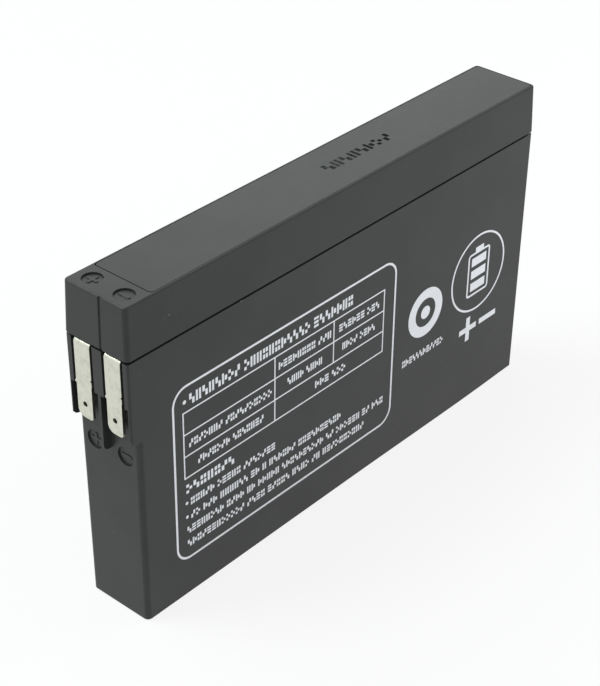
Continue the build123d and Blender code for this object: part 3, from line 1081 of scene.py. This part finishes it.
def make_floor(studio):
    """A pale floor that the camera sees lifted towards white, with the battery's shadow on it."""
    bm = bmesh.new()
    bmesh.ops.create_grid(bm, x_segments=1, y_segments=1, size=FLOOR_HALF)
    floor = piece_from(bm, "floor", Matrix.Translation((0.0, 0.0, -FLOOR_DROP)))
    material = bpy.data.materials.new("pale_floor")
    material.use_nodes = True
    graph = Graph(material.node_tree)
    paint = graph.node("ShaderNodeBsdfDiffuse", None, {"Color": opaque(studio.floor_colour)})
    white = graph.node("ShaderNodeEmission", None, {"Color": WHITE, "Strength": 1.0})
    share = seen_white(graph) * studio.floor_lift
    surface = graph.node("ShaderNodeMixShader", None, {0: share, 1: paint, 2: white})
    graph.node("ShaderNodeOutputMaterial", None, {"Surface": surface})
    floor.data.materials.append(material)


def make_sky(scene):
    """An even sky, white where it is seen and plain where it lights."""
    world = bpy.data.worlds.new("studio_sky")
    world.use_nodes = True
    graph = Graph(world.node_tree)
    light = graph.node("ShaderNodeBackground", None,
                       {"Color": WHITE, "Strength": scene.battery_studio.sky})
    white = graph.node("ShaderNodeBackground", None, {"Color": WHITE, "Strength": 1.0})
    sky = graph.node("ShaderNodeMixShader", None, {0: seen_white(graph), 1: light, 2: white})
    graph.node("ShaderNodeOutputWorld", None, {"Surface": sky})
    scene.world = world


def soft_lamp(name, place, size, power, tint):
    """A square area lamp that points at the battery's middle."""
    lamp = bpy.data.lights.new(name, "AREA")
    lamp.shape = "SQUARE"
    lamp.size = size
    lamp.energy = power
    lamp.color = tint
    holder = link(bpy.data.objects.new(name, lamp))
    holder.location = place
    middle = (cad_box[0] + cad_box[1]) / 2
    holder.rotation_euler = (middle - Vector(place)).to_track_quat("-Z", "Y").to_euler()
    return holder


def make_camera(scene):
    """The camera at the photograph's viewing angle."""
    studio = scene.battery_studio
    turn, rise = studio.azimuth, studio.elevation
    back = Vector((math.sin(turn) * math.cos(rise), -math.cos(turn) * math.cos(rise), math.sin(rise)))
    level_right = Vector((math.cos(turn), math.sin(turn), 0.0))
    level_up = back.cross(level_right)
    right = level_right * math.cos(studio.roll) + level_up * math.sin(studio.roll)
    up = level_up * math.cos(studio.roll) - level_right * math.sin(studio.roll)
    middle = (cad_box[0] + cad_box[1]) / 2
    place = middle - right * studio.aim_right - up * studio.aim_up + back * studio.distance
    lens = bpy.data.cameras.new("camera")
    lens.lens = studio.lens
    lens.sensor_width = SENSOR_WIDTH
    lens.sensor_fit = "AUTO"
    holder = link(bpy.data.objects.new("camera", lens))
    turned = Matrix((right, up, back)).transposed().to_4x4()
    holder.matrix_world = Matrix.Translation(place) @ turned
    scene.camera = holder


class VIEW3D_PT_battery(bpy.types.Panel):
    """Buttons and sizes of the battery's dressing"""

    bl_label = "Sealed battery"
    bl_space_type = "VIEW_3D"
    bl_region_type = "UI"
    bl_category = "Battery"

    def draw(self, context):
        for operator in OPERATORS:
            self.layout.operator(operator.bl_idname)
        for name, group in SETTINGS.items():
            box = self.layout.box()
            for label in group.__annotations__:
                box.prop(getattr(context.scene, name), label)


SETTINGS = {
    "battery_case": CaseSettings,
    "battery_marks": MarkSettings,
    "battery_stamp": StampSettings,
    "battery_tabs": TabSettings,
    "battery_print": PrintSettings,
    "battery_studio": StudioSettings,
}
OPERATORS = (
    BATTERY_OT_container,
    BATTERY_OT_lid,
    BATTERY_OT_vent_cover,
    BATTERY_OT_tabs,
    BATTERY_OT_inner,
    BATTERY_OT_print_frame,
    BATTERY_OT_print_lines,
    BATTERY_OT_print_symbols,
    BATTERY_OT_stage,
)


def register():
    for name, group in SETTINGS.items():
        bpy.utils.register_class(group)
        setattr(bpy.types.Scene, name, bpy.props.PointerProperty(type=group))
    for operator in OPERATORS:
        bpy.utils.register_class(operator)
    bpy.utils.register_class(VIEW3D_PT_battery)


def unregister():
    bpy.utils.unregister_class(VIEW3D_PT_battery)
    for operator in reversed(OPERATORS):
        bpy.utils.unregister_class(operator)
    for name, group in reversed(SETTINGS.items()):
        delattr(bpy.types.Scene, name)
        bpy.utils.unregister_class(group)


def main():
    """Dresses the battery and sets the stage."""
    register()
    bpy.ops.battery.container()
    bpy.ops.battery.lid()
    bpy.ops.battery.vent_cover()
    bpy.ops.battery.tabs()
    bpy.ops.battery.inner()
    bpy.ops.battery.print_frame()
    bpy.ops.battery.print_lines()
    bpy.ops.battery.print_symbols()
    bpy.ops.battery.stage()


if __name__ == "__main__":
    main()
